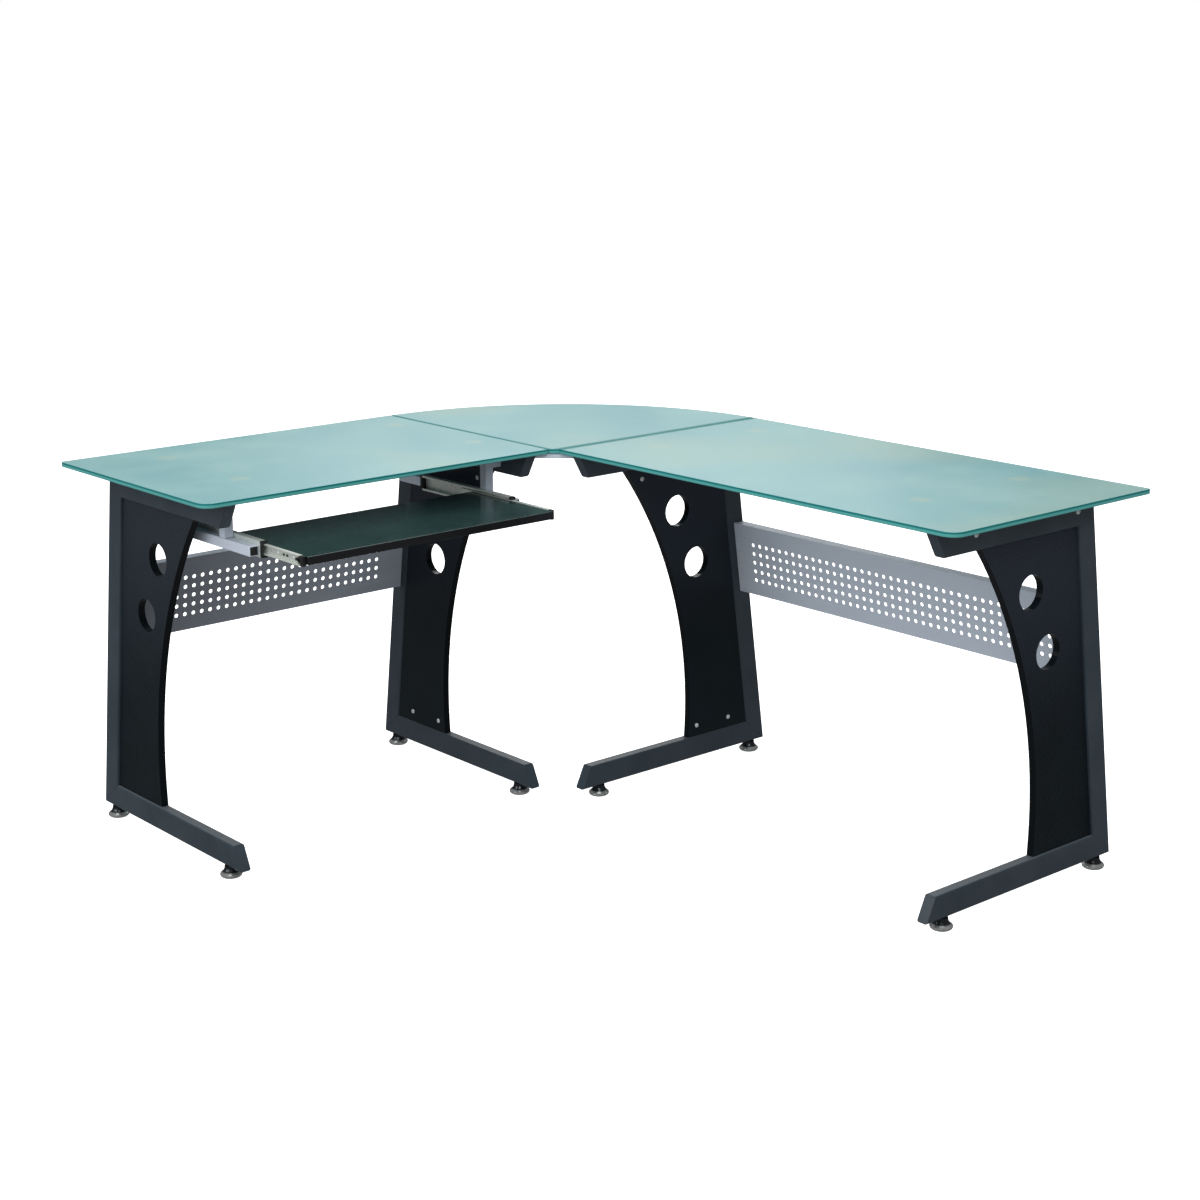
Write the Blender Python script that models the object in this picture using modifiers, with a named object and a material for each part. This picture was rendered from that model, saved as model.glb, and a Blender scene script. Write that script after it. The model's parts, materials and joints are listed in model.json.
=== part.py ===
"""L-shaped glass computer desk with four leg frames, two perforated back panels and a keyboard tray.

Metres, +Z up. The world origin is on the floor under the middle of the bounding box.
Pieces are laid out in desk coordinates, whose origin is the inner corner of the L on the floor:
the left wing runs along -X with its front edge on y = 0, and the right wing runs along -Y with its
front edge on x = 0. Inside a wing, s is the distance along it from the inner corner, u is the
distance forward from its rear glass edge, and z is the height.
"""

import math

import bmesh
import bpy
from mathutils import Matrix, Vector

# Gaps
GAP = 0.0003                    # clearance between pieces that touch
SEAM = 0.003                    # visible gap between two glass tops

# Glass tops
TOP_Z = 0.754
GLASS_THICK = 0.010
WING_DEPTH = 0.560
SEAM_OFFSET = 0.016             # seam lines lie this far behind the inner corner
LEFT_LENGTH = 0.810
RIGHT_LENGTH = 1.050
FREE_CORNER_R = 0.028
REAR_CORNER_R = 0.008
CORNER_ARC_STEPS = 32
GLASS_EDGE_R = 0.0012

# Leg frames, as outlines in (u, z)
TUBE_HEIGHT = 0.048
TUBE_THICK = 0.024
TUBE_EDGE_R = 0.004
FOOT_Z = 0.024                  # underside of the foot bars
TOP_BAR_Z = 0.742               # top of the top bars
POST_TOP_U = 0.1017             # rear edge of a post at TOP_BAR_Z
POST_FOOT_U = 0.0053            # rear edge of a post at FOOT_Z
TOP_BAR_FRONT_U = (0.544, 0.518)    # front end of a top bar at its top and at its underside
FOOT_BAR_FRONT_U = (0.542, 0.519)   # front end of a foot bar at its underside and at its top
LEG_INSET = 0.0535              # free wing end to the outer face of the outer leg
INNER_LEG_S = 0.0365            # inner corner to the near face of the inner leg

# Leg panels
PANEL_THICK = 0.015
PANEL_OUTER_RECESS = 0.0065
PANEL_ARC_R = 0.899
PANEL_ARC_CENTRE = (1.132, 0.151)
PANEL_ARC_STEPS = 20
PANEL_HOLE_R = 0.034
PANEL_HOLES = ((0.2695, 0.589), (0.214, 0.467))
PANEL_HOLE_SIDES = 28

# Levelling glides
GLIDE_U = (0.0415, 0.488)
GLIDE_STEM_R = 0.005
GLIDE_STEM_TOP = 0.050
GLIDE_BORE_R = 0.0054
GLIDE_BORE_TOP = 0.0520
GLIDE_STEPS = 24

# Back panels
SHEET_THICK = 0.0012
SHEET_BOTTOM_Z = 0.3806
SHEET_TOP_Z = 0.5376
SHEET_POST_U = 0.0296           # sheet surface forward of the rear edge of the posts
FLANGE_DEPTH = 0.028
HOLE_R = 0.0047
HOLE_SIDES = 6
HOLE_PITCH = 0.020
HOLE_ROWS = 5
HOLE_LOW_Z = 0.4155
HOLE_FIRST_S = {"left": 0.1296, "right": 0.1150}
HOLE_COLUMNS = {"left": 28, "right": 42}

# Rails, pads and plates under the glass
RAIL_U = (0.110, 0.392)
RAIL_WIDTH = 0.024
RAIL_HEIGHT = 0.020
PAD_R = 0.020
PAD_S = {"left": (0.0815, 0.648), "right": (0.1365, 0.8425)}
PLATE_THICK = 0.010
PLATE_REACH = 0.062
PLATE_CUT = 0.026
TAB_U = (0.140, 0.180)
TAB_REACH = 0.056

# Keyboard tray, at rest drawn out by TRAY_REST_OUT
TRAY_LEFT_X = -0.6926
TRAY_RIGHT_X = -0.1146
TRAY_DEPTH = 0.266
TRAY_THICK = 0.016
TRAY_TOP_Z = 0.659
TRAY_CLOSED_FRONT_Y = 0.003
TRAY_REST_OUT = 0.137
TRAY_EDGE_R = 0.0015

# Ball bearing slides
SLIDE_MID_Z = 0.650
SLIDE_LENGTH = 0.300
SLIDE_FRONT_Y = 0.010           # front end of the fixed channel and of the closed tray member
CHANNEL_WIDTH = 0.0127
CHANNEL_HEIGHT = 0.032
CHANNEL_WALL = 0.0012
CHANNEL_LIP = 0.0040
MEMBER_HEIGHT = 0.020
MEMBER_WIDTH = 0.0080
MEMBER_WALL = 0.0012
CAGE_LENGTH = 0.140
CAGE_CLOSED_Y = 0.150
CAGE_HEIGHT = 0.0265
CAGE_RAIL_WIDTH = 0.0050
CAGE_WALL = 0.0010
CAP_LENGTH = 0.010

# Square tubes and hangers that carry the slides
CARRIER = 0.020
CARRIER_TOP_Z = 0.6575
CARRIER_FRONT_Y = 0.015
CARRIER_REAR_Y = 0.410
HANGER_TOP_Z = 0.729
HANGER_Y = {"front": 0.102, "rear": 0.375}
HANGER_EDGE_R = 0.0015

# Derived lengths
GLASS_BOTTOM_Z = TOP_Z - GLASS_THICK
LEFT_END = SEAM_OFFSET + LEFT_LENGTH
RIGHT_END = SEAM_OFFSET + RIGHT_LENGTH
DESK_ORIGIN = ((LEFT_END - WING_DEPTH) / 2, (RIGHT_END - WING_DEPTH) / 2, 0.0)
POST_SLOPE = (POST_TOP_U - POST_FOOT_U) / (TOP_BAR_Z - FOOT_Z)
POST_WIDTH_U = TUBE_HEIGHT * math.hypot(1.0, POST_SLOPE)
TOP_BAR_UNDER_Z = TOP_BAR_Z - TUBE_HEIGHT
FOOT_BAR_TOP_Z = FOOT_Z + TUBE_HEIGHT
LEG_S = {
    "a": ("left", LEFT_END - LEG_INSET - TUBE_THICK / 2, 1),
    "b": ("left", INNER_LEG_S + TUBE_THICK / 2, -1),
    "c": ("right", INNER_LEG_S + TUBE_THICK / 2, -1),
    "d": ("right", RIGHT_END - LEG_INSET - TUBE_THICK / 2, 1),
}
WING_SPAN = {
    "left": (LEG_S["b"][1] + TUBE_THICK / 2, LEG_S["a"][1] - TUBE_THICK / 2),
    "right": (LEG_S["c"][1] + TUBE_THICK / 2, LEG_S["d"][1] - TUBE_THICK / 2),
}

# Wing axes: local X is +u, local Y is up, and local Z is along the wing
WING_AXES = {
    "left": Matrix(((0, 0, -1), (-1, 0, 0), (0, 1, 0))),
    "right": Matrix(((-1, 0, 0), (0, 0, 1), (0, 1, 0))),
}


def clear_scene():
    for obj in list(bpy.data.objects):
        bpy.data.objects.remove(obj)


def make_collection(name):
    collection = bpy.data.collections.new(name)
    bpy.context.scene.collection.children.link(collection)
    return collection


def make_material(name, colour, roughness, metallic=0.0, alpha=1.0):
    material = bpy.data.materials.new(name)
    material.use_nodes = True
    shader = material.node_tree.nodes["Principled BSDF"]
    shader.inputs["Base Color"].default_value = (*colour, 1.0)
    shader.inputs["Roughness"].default_value = roughness
    shader.inputs["Metallic"].default_value = metallic
    shader.inputs["Alpha"].default_value = alpha
    material.diffuse_color = (*colour, 1.0)
    return material


def add_empty(name, parent=None, location=(0.0, 0.0, 0.0), rotation=None):
    empty = bpy.data.objects.new(name, None)
    empty.empty_display_size = 0.05
    empty.location = location
    if rotation is not None:
        empty.rotation_euler = rotation.to_euler()
    empty.parent = parent
    PARTS.objects.link(empty)
    return empty


def add_part(name, mesh, material, parent, location=(0.0, 0.0, 0.0)):
    """Link one sub-part, shaded smooth except across its real edges."""
    obj = bpy.data.objects.new(name, mesh)
    if not mesh.materials:
        mesh.materials.append(material)
    mesh.shade_smooth()
    mesh.set_sharp_from_angle(angle=math.radians(32))
    obj.location = location
    obj.parent = parent
    PARTS.objects.link(obj)
    return obj


def add_cutter(name, mesh, parent):
    obj = bpy.data.objects.new(name, mesh)
    obj.parent = parent
    obj.hide_render = True
    obj.display_type = "WIRE"
    CUTTERS.objects.link(obj)
    return obj


def bevel(obj, width, segments=1, weighted=False):
    modifier = obj.modifiers.new("Bevel", "BEVEL")
    modifier.width = width
    modifier.segments = segments
    modifier.limit_method = "WEIGHT" if weighted else "ANGLE"
    modifier.angle_limit = math.radians(40)
    modifier.use_clamp_overlap = True
    return modifier


def mesh_from_bmesh(name, shape):
    mesh = bpy.data.meshes.new(name)
    bmesh.ops.recalc_face_normals(shape, faces=shape.faces)
    shape.to_mesh(mesh)
    shape.free()
    return mesh


def box_mesh(name, size):
    shape = bmesh.new()
    bmesh.ops.create_cube(shape, size=1.0)
    bmesh.ops.scale(shape, vec=size, verts=shape.verts)
    return mesh_from_bmesh(name, shape)


def add_box(name, low, high, material, parent, edge_r=0.0, segments=1):
    """A box between two opposite corners, with its origin at its middle."""
    low, high = Vector(low), Vector(high)
    obj = add_part(name, box_mesh(name, high - low), material, parent, (low + high) / 2)
    if edge_r:
        bevel(obj, edge_r, segments)
    return obj


def outline_mesh(name, outline, thickness, holes=()):
    """A flat outline in local XY, with its thickness centred on local Z = 0."""
    curve = bpy.data.curves.new(name, "CURVE")
    curve.dimensions = "2D"
    curve.fill_mode = "BOTH"
    curve.extrude = thickness / 2
    for loop in (outline, *holes):
        spline = curve.splines.new("POLY")
        spline.points.add(len(loop) - 1)
        for point, (x, y) in zip(spline.points, loop):
            point.co = (x, y, 0.0, 1.0)
        spline.use_cyclic_u = True
    guide = bpy.data.objects.new(name + "_outline", curve)
    bpy.context.scene.collection.objects.link(guide)
    evaluated = guide.evaluated_get(bpy.context.evaluated_depsgraph_get())
    flat = bpy.data.meshes.new_from_object(evaluated)
    shape = bmesh.new()
    shape.from_mesh(flat)
    bmesh.ops.remove_doubles(shape, verts=shape.verts, dist=1e-5)
    if not holes:
        bmesh.ops.dissolve_limit(
            shape, angle_limit=math.radians(0.5), verts=shape.verts, edges=shape.edges
        )
    bpy.data.objects.remove(guide)
    bpy.data.curves.remove(curve)
    bpy.data.meshes.remove(flat)
    return mesh_from_bmesh(name, shape)


def arc(centre, radius, start, end, steps):
    """Points on a circle from one angle to another, in radians."""
    angles = [start + (end - start) * i / steps for i in range(steps + 1)]
    return [(centre[0] + radius * math.cos(a), centre[1] + radius * math.sin(a)) for a in angles]


def rounded_outline(corners, radii, steps=6):
    """A polygon whose corners are replaced by arcs; a radius of 0 keeps the corner."""
    points = []
    for i, (corner, radius) in enumerate(zip(corners, radii)):
        here = Vector(corner)
        if radius == 0.0:
            points.append(tuple(here))
            continue
        back = (Vector(corners[i - 1]) - here).normalized()
        ahead = (Vector(corners[(i + 1) % len(corners)]) - here).normalized()
        half = back.angle(ahead) / 2
        middle = here + (back + ahead).normalized() * radius / math.sin(half)
        first = here + back * radius / math.tan(half) - middle
        last = here + ahead * radius / math.tan(half) - middle
        turn = first.angle_signed(last)
        for step in range(steps + 1):
            spoke = first.copy()
            spoke.rotate(Matrix.Rotation(-turn * step / steps, 2))
            points.append(tuple(middle + spoke))
    return points


def wing_point(wing, s, u, z):
    """Desk coordinates of a place given inside a wing."""
    if wing == "left":
        return (-s, WING_DEPTH - u, z)
    return (WING_DEPTH - u, -s, z)


def add_wing_box(name, wing, s_range, u_range, z_range, material, edge_r=0.0):
    """A box given by its extents along, across and above a wing."""
    first = wing_point(wing, s_range[0], u_range[0], z_range[0])
    second = wing_point(wing, s_range[1], u_range[1], z_range[1])
    low = [min(a, b) for a, b in zip(first, second)]
    high = [max(a, b) for a, b in zip(first, second)]
    return add_box(name, low, high, material, DESK, edge_r)


def post_rear_u(z):
    return POST_FOOT_U + (z - FOOT_Z) * POST_SLOPE


def post_front_u(z):
    return post_rear_u(z) + POST_WIDTH_U


def mitre_shift(outer, inner):
    """How far a mitred end moves along u so that the two cut faces stay half a GAP off the joint."""
    return GAP / 2 * math.dist(outer, inner) / abs(outer[1] - inner[1])


def add_bar(name, corners, material, parent):
    """A tube between four corners in (u, z), in the order rear low, front low, front high, rear high."""
    shape = bmesh.new()
    bmesh.ops.create_cube(shape, size=TUBE_THICK)
    for vert in shape.verts:
        front, high = vert.co.x > 0, vert.co.y > 0
        index = (3, 2)[front] if high else (0, 1)[front]
        vert.co.x, vert.co.y = corners[index]
    mesh = mesh_from_bmesh(name, shape)
    return add_part(name, mesh, material, parent)


def round_long_edges(bar, across_u=False):
    """Round the four edges that run the length of a bar: across u for a post, along u for the rest."""
    weights = bar.data.attributes.new("bevel_weight_edge", "FLOAT", "EDGE")
    for edge in bar.data.edges:
        run = bar.data.vertices[edge.vertices[1]].co - bar.data.vertices[edge.vertices[0]].co
        long_edge = abs(run.y) > 0.1 if across_u else abs(run.x) > 0.1
        weights.data[edge.index].value = 1.0 if long_edge else 0.0
    bevel(bar, TUBE_EDGE_R, 3, weighted=True)


def add_glide_bores(foot_bar, parent):
    """Blind bores in the underside of a foot bar for the stems of its glides."""
    shape = bmesh.new()
    length = GLIDE_BORE_TOP - FOOT_Z + 0.010
    for u in GLIDE_U:
        place = Matrix.Translation((u, GLIDE_BORE_TOP - length / 2, 0.0))
        place @= Matrix.Rotation(math.radians(90), 4, "X")
        bmesh.ops.create_cone(
            shape, cap_ends=True, segments=16, radius1=GLIDE_BORE_R, radius2=GLIDE_BORE_R,
            depth=length, matrix=place,
        )
    cutter = add_cutter(foot_bar.name + "_bores", mesh_from_bmesh("bores", shape), parent)
    modifier = foot_bar.modifiers.new("Bores", "BOOLEAN")
    modifier.operation = "DIFFERENCE"
    modifier.solver = "EXACT"
    modifier.object = cutter


def add_leg_panel(name, outer_side, parent):
    """The panel inside a leg frame, with a concave front edge and two round holes."""
    low, high = FOOT_BAR_TOP_Z + GAP, TOP_BAR_UNDER_Z - GAP
    centre_u, centre_z = PANEL_ARC_CENTRE
    front = []
    for step in range(PANEL_ARC_STEPS + 1):
        z = low + (high - low) * step / PANEL_ARC_STEPS
        front.append((centre_u - math.sqrt(PANEL_ARC_R ** 2 - (z - centre_z) ** 2), z))
    clear = GAP * POST_WIDTH_U / TUBE_HEIGHT
    rear = [(post_front_u(high) + clear, high), (post_front_u(low) + clear, low)]
    holes = [
        arc(hole, PANEL_HOLE_R, 0.0, math.tau * (1 - 1 / PANEL_HOLE_SIDES), PANEL_HOLE_SIDES - 1)
        for hole in PANEL_HOLES
    ]
    mesh = outline_mesh(name, front + rear, PANEL_THICK, holes)
    offset = (TUBE_THICK / 2 - PANEL_OUTER_RECESS - PANEL_THICK / 2) * outer_side
    add_part(name, mesh, PANEL, parent, (0.0, 0.0, offset))


def add_leg(letter):
    """One leg frame: mitred top bar, post and foot bar around a panel."""
    wing, s, outer = LEG_S[letter]
    along = WING_AXES[wing] @ Vector((0, 0, 1))
    away = Vector(wing_point(wing, 1, 0, 0)) - Vector(wing_point(wing, 0, 0, 0))
    leg = add_empty(f"leg_{letter}", DESK, wing_point(wing, s, 0.0, 0.0), WING_AXES[wing])

    top_outer, top_inner = (POST_TOP_U, TOP_BAR_Z), (post_front_u(TOP_BAR_UNDER_Z), TOP_BAR_UNDER_Z)
    low_outer, low_inner = (POST_FOOT_U, FOOT_Z), (post_front_u(FOOT_BAR_TOP_Z), FOOT_BAR_TOP_Z)
    top_shift = mitre_shift(top_outer, top_inner)
    low_shift = mitre_shift(low_outer, low_inner)
    top_bar = add_bar(
        f"leg_{letter}_top_bar",
        [
            (top_inner[0] + top_shift, top_inner[1]),
            (TOP_BAR_FRONT_U[1], TOP_BAR_UNDER_Z),
            (TOP_BAR_FRONT_U[0], TOP_BAR_Z),
            (top_outer[0] + top_shift, top_outer[1]),
        ],
        FRAME, leg,
    )
    foot_bar = add_bar(
        f"leg_{letter}_foot_bar",
        [
            (low_outer[0] + low_shift, low_outer[1]),
            (FOOT_BAR_FRONT_U[0], FOOT_Z),
            (FOOT_BAR_FRONT_U[1], FOOT_BAR_TOP_Z),
            (low_inner[0] + low_shift, low_inner[1]),
        ],
        FRAME, leg,
    )
    post = add_bar(
        f"leg_{letter}_post",
        [
            (low_outer[0] - low_shift, low_outer[1]),
            (low_inner[0] - low_shift, low_inner[1]),
            (top_inner[0] - top_shift, top_inner[1]),
            (top_outer[0] - top_shift, top_outer[1]),
        ],
        FRAME, leg,
    )
    round_long_edges(top_bar)
    round_long_edges(foot_bar)
    round_long_edges(post, across_u=True)
    add_glide_bores(foot_bar, leg)
    add_leg_panel(f"leg_{letter}_panel", outer * round(along.dot(away)), leg)


def glide_mesh():
    """Profile of a levelling glide, at +X from the top of its stem down to the floor."""
    profile = [
        (0.0, GLIDE_STEM_TOP),
        (GLIDE_STEM_R, GLIDE_STEM_TOP),
        (GLIDE_STEM_R, FOOT_Z - 0.0012),
        (0.0120, FOOT_Z - 0.0015),
        (0.0128, 0.0170),
        (0.0150, 0.0125),
        (0.0188, 0.0092),
        (0.0212, 0.0072),
        (0.0218, 0.0050),
        (0.0208, 0.0022),
        (0.0180, 0.0),
        (0.0, 0.0),
    ]
    mesh = bpy.data.meshes.new("glide")
    edges = [(i, i + 1) for i in range(len(profile) - 1)]
    mesh.from_pydata([(r, 0.0, z) for r, z in profile], edges, [])
    return mesh


def turn(obj):
    modifier = obj.modifiers.new("Screw", "SCREW")
    modifier.axis = "Z"
    modifier.steps = GLIDE_STEPS
    modifier.render_steps = GLIDE_STEPS
    modifier.use_merge_vertices = True
    modifier.merge_threshold = 0.0001
    modifier.use_smooth_shade = True


def add_glides(mesh):
    for letter, (wing, s, _) in LEG_S.items():
        for end, u in zip(("rear", "front"), GLIDE_U):
            x, y, _ = wing_point(wing, s, u, 0.0)
            axis = add_empty(f"axis_glide_{letter}_{end}", DESK, (x, y, 0.0))
            turn(add_part(f"leg_{letter}_glide_{end}", mesh, CHROME, axis))


def add_glass():
    """Two wing tops and a quarter-round corner top with a clipped inner apex."""
    depth = WING_DEPTH
    near = SEAM_OFFSET + SEAM / 2
    mid_z = TOP_Z - GLASS_THICK / 2
    left = rounded_outline(
        [(-LEFT_END, 0.0), (-near, 0.0), (-near, depth), (-LEFT_END, depth)],
        [FREE_CORNER_R, 0.0, 0.0, REAR_CORNER_R],
    )
    right = rounded_outline(
        [(0.0, -RIGHT_END), (depth, -RIGHT_END), (depth, -near), (0.0, -near)],
        [FREE_CORNER_R, REAR_CORNER_R, 0.0, 0.0],
    )
    hub = (-SEAM_OFFSET, -SEAM_OFFSET)
    radius = depth + SEAM_OFFSET
    inset = math.asin(SEAM / 2 / radius)
    sweep = arc(hub, radius, inset, math.pi / 2 - inset, CORNER_ARC_STEPS)
    edge = -SEAM_OFFSET + SEAM / 2
    corner = [(edge, 0.0), (0.0, edge)] + sweep
    for name, outline in (("left", left), ("right", right), ("corner", corner)):
        mesh = outline_mesh(f"glass_{name}", outline, GLASS_THICK)
        top = add_part(f"glass_{name}", mesh, GLASS, DESK, (0.0, 0.0, mid_z))
        bevel(top, GLASS_EDGE_R, 2)


def add_back_panel(wing):
    """A bent sheet between the posts of a wing, with a flange folded back along its top edge."""
    start, end = WING_SPAN[wing]
    length = end - start - 2 * GAP
    low_u = post_rear_u(SHEET_BOTTOM_Z) + SHEET_POST_U
    top_u = post_rear_u(SHEET_TOP_Z) + SHEET_POST_U
    under_z = SHEET_TOP_Z - SHEET_THICK
    under_u = top_u - SHEET_THICK * POST_SLOPE
    outline = [
        (low_u, SHEET_BOTTOM_Z),
        (top_u, SHEET_TOP_Z),
        (top_u - FLANGE_DEPTH, SHEET_TOP_Z),
        (top_u - FLANGE_DEPTH, under_z),
        (under_u - SHEET_THICK, under_z),
        (low_u - SHEET_THICK, SHEET_BOTTOM_Z),
    ]
    mesh = outline_mesh(f"back_panel_{wing}", outline, length)
    middle = (start + end) / 2
    place = add_empty(
        f"axis_back_panel_{wing}", DESK, wing_point(wing, middle, 0.0, 0.0), WING_AXES[wing]
    )
    panel = add_part(f"back_panel_{wing}", mesh, SHEET, place)
    cutter = add_cutter(f"{panel.name}_punches", punches_mesh(wing, middle), place)
    modifier = panel.modifiers.new("Punches", "BOOLEAN")
    modifier.operation = "DIFFERENCE"
    modifier.solver = "EXACT"
    modifier.object = cutter


def punches_mesh(wing, middle):
    """Rows of punches square to the sheet of a back panel, in the panel's own axes."""
    shape = bmesh.new()
    tilt = Matrix.Rotation(-math.atan(POST_SLOPE), 4, "Z") @ Matrix.Rotation(math.radians(90), 4, "Y")
    along = WING_AXES[wing].transposed() @ Vector(wing_point(wing, 1.0, WING_DEPTH, 0.0))
    direction = 1.0 if along.dot(Vector((0, 0, 1))) > 0 else -1.0
    for row in range(HOLE_ROWS):
        z = HOLE_LOW_Z + row * HOLE_PITCH
        u = post_rear_u(z) + SHEET_POST_U - SHEET_THICK / 2
        for column in range(HOLE_COLUMNS[wing]):
            s = HOLE_FIRST_S[wing] + column * HOLE_PITCH - middle
            bmesh.ops.create_cone(
                shape, cap_ends=True, segments=HOLE_SIDES, radius1=HOLE_R, radius2=HOLE_R,
                depth=SHEET_THICK * 5, matrix=Matrix.Translation((u, z, direction * s)) @ tilt,
            )
    return mesh_from_bmesh("punches", shape)


def add_glass_supports(wing):
    """Two rails along a wing with two round pads each, all under the glass."""
    start, end = WING_SPAN[wing]
    for end_name, u in zip(("rear", "front"), RAIL_U):
        add_wing_box(
            f"rail_{wing}_{end_name}", wing, (start + GAP, end - GAP),
            (u - RAIL_WIDTH / 2, u + RAIL_WIDTH / 2), (TOP_BAR_Z - RAIL_HEIGHT, TOP_BAR_Z),
            FRAME, 0.0015,
        )
        for side, s in zip(("inner", "outer"), PAD_S[wing]):
            shape = bmesh.new()
            height = GLASS_BOTTOM_Z - TOP_BAR_Z - 2 * GAP
            bmesh.ops.create_cone(
                shape, cap_ends=True, segments=24, radius1=PAD_R, radius2=PAD_R, depth=height
            )
            name = f"pad_{wing}_{end_name}_{side}"
            middle = wing_point(wing, s, u, (GLASS_BOTTOM_Z + TOP_BAR_Z) / 2)
            add_part(name, mesh_from_bmesh(name, shape), RUBBER, DESK, middle)


def add_corner_supports():
    """A plate behind the clipped apex of the corner glass, and a tab from each inner top bar."""
    inner = -INNER_LEG_S + GAP
    high = GLASS_BOTTOM_Z - GAP
    outline = [(inner, PLATE_CUT), (PLATE_CUT, inner), (PLATE_REACH, inner), (inner, PLATE_REACH)]
    mesh = outline_mesh("corner_plate", outline, PLATE_THICK)
    plate = add_part("corner_plate", mesh, SHEET, DESK, (0.0, 0.0, high - PLATE_THICK / 2))
    bevel(plate, 0.001)
    for wing in ("left", "right"):
        add_wing_box(
            f"corner_tab_{wing}", wing, (INNER_LEG_S - GAP - TAB_REACH, INNER_LEG_S - GAP), TAB_U,
            (high - PLATE_THICK, high), SHEET, 0.001,
        )


def slide_x(side, distance):
    """X of a plane inside a slide, measured outward from the side edge of the tray board."""
    if side == "left":
        return TRAY_LEFT_X - distance
    return TRAY_RIGHT_X + distance


def c_profile(side, near, far, height, wall, lip):
    """A C section in (x, z) that opens towards the tray, with lips turned in along both edges."""
    half = height / 2
    section = [
        (near, half), (far, half), (far, -half), (near, -half),
        (near, -half + lip), (near + wall, -half + lip), (near + wall, -half + wall),
        (far - wall, -half + wall), (far - wall, half - wall), (near + wall, half - wall),
        (near + wall, half - lip), (near, half - lip),
    ]
    return [(slide_x(side, distance), SLIDE_MID_Z + z) for distance, z in section]


def add_profile(name, outline, front_y, length, material, parent_y, parent):
    """An outline in (x, z) run from front_y backwards along +Y."""
    mesh = outline_mesh(name, outline, length)
    upright = Matrix.Rotation(math.radians(90), 4, "X")
    mesh.transform(upright)
    return add_part(name, mesh, material, parent, (0.0, front_y + length / 2 - parent_y, 0.0))


def add_slide(side):
    """Fixed channel, ball cage and tray member of one slide."""
    add_profile(
        f"slide_channel_{side}",
        c_profile(side, GAP, CHANNEL_WIDTH - GAP, CHANNEL_HEIGHT, CHANNEL_WALL, CHANNEL_LIP),
        SLIDE_FRONT_Y, SLIDE_LENGTH, ZINC, 0.0, DESK,
    )
    cage_y = CAGE_CLOSED_Y - TRAY_REST_OUT / 2
    cage_axis = add_empty(f"axis_cage_{side}", DESK, (0.0, cage_y, 0.0))
    cage_near = MEMBER_WIDTH - CAGE_RAIL_WIDTH + 0.0006
    add_profile(
        f"ball_cage_{side}",
        c_profile(
            side, cage_near, CHANNEL_WIDTH - GAP - CHANNEL_WALL - 0.0006, CAGE_HEIGHT, CAGE_WALL,
            CAGE_WALL + 0.0006,
        ),
        cage_y, CAGE_LENGTH, CAGE, cage_y, cage_axis,
    )
    member_y = SLIDE_FRONT_Y - TRAY_REST_OUT
    add_profile(
        f"tray_member_{side}",
        member_profile(side),
        member_y + CAP_LENGTH + GAP, SLIDE_LENGTH - CAP_LENGTH - GAP, ZINC, TRAY_Y, TRAY_AXIS,
    )
    half = MEMBER_HEIGHT / 2
    xs = sorted((slide_x(side, GAP), slide_x(side, MEMBER_WIDTH)))
    add_box(
        f"tray_member_cap_{side}",
        (xs[0], member_y - TRAY_Y, SLIDE_MID_Z - half),
        (xs[1], member_y + CAP_LENGTH - TRAY_Y, SLIDE_MID_Z + half),
        PLASTIC, TRAY_AXIS, 0.001,
    )


def member_profile(side):
    """A U section in (x, z) whose web is screwed to the side edge of the tray board."""
    half = MEMBER_HEIGHT / 2
    wall = MEMBER_WALL
    section = [
        (GAP, half), (MEMBER_WIDTH, half), (MEMBER_WIDTH, half - wall), (GAP + wall, half - wall),
        (GAP + wall, -half + wall), (MEMBER_WIDTH, -half + wall), (MEMBER_WIDTH, -half), (GAP, -half),
    ]
    return [(slide_x(side, distance), SLIDE_MID_Z + z) for distance, z in section]


def add_carrier(side):
    """The square tube under a hanger pair, with hangers that reach out to the leg's top bar."""
    inner = slide_x(side, CHANNEL_WIDTH)
    outer = slide_x(side, CHANNEL_WIDTH + CARRIER)
    if side == "left":
        bar_face = -WING_SPAN["left"][1] + GAP
    else:
        bar_face = -WING_SPAN["left"][0] - GAP
    xs = sorted((inner, outer))
    add_box(
        f"tray_tube_{side}",
        (xs[0], CARRIER_FRONT_Y, CARRIER_TOP_Z - CARRIER), (xs[1], CARRIER_REAR_Y, CARRIER_TOP_Z),
        SHEET, DESK, HANGER_EDGE_R, 2,
    )
    low = CARRIER_TOP_Z + GAP
    outline = [
        (inner, low), (outer, low), (outer, HANGER_TOP_Z - CARRIER),
        (bar_face, HANGER_TOP_Z - CARRIER), (bar_face, HANGER_TOP_Z), (inner, HANGER_TOP_Z),
    ]
    for end, front_y in HANGER_Y.items():
        hanger = add_profile(
            f"hanger_{side}_{end}", outline, front_y, CARRIER, SHEET, 0.0, DESK
        )
        bevel(hanger, HANGER_EDGE_R, 2)


def add_tray_board():
    front_y = TRAY_CLOSED_FRONT_Y - TRAY_REST_OUT
    add_box(
        "tray_board",
        (TRAY_LEFT_X, front_y - TRAY_Y, TRAY_TOP_Z - TRAY_THICK),
        (TRAY_RIGHT_X, front_y + TRAY_DEPTH - TRAY_Y, TRAY_TOP_Z),
        BOARD, TRAY_AXIS, TRAY_EDGE_R, 2,
    )


clear_scene()
PARTS = make_collection("computer_desk")
CUTTERS = make_collection("cutters")

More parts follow.
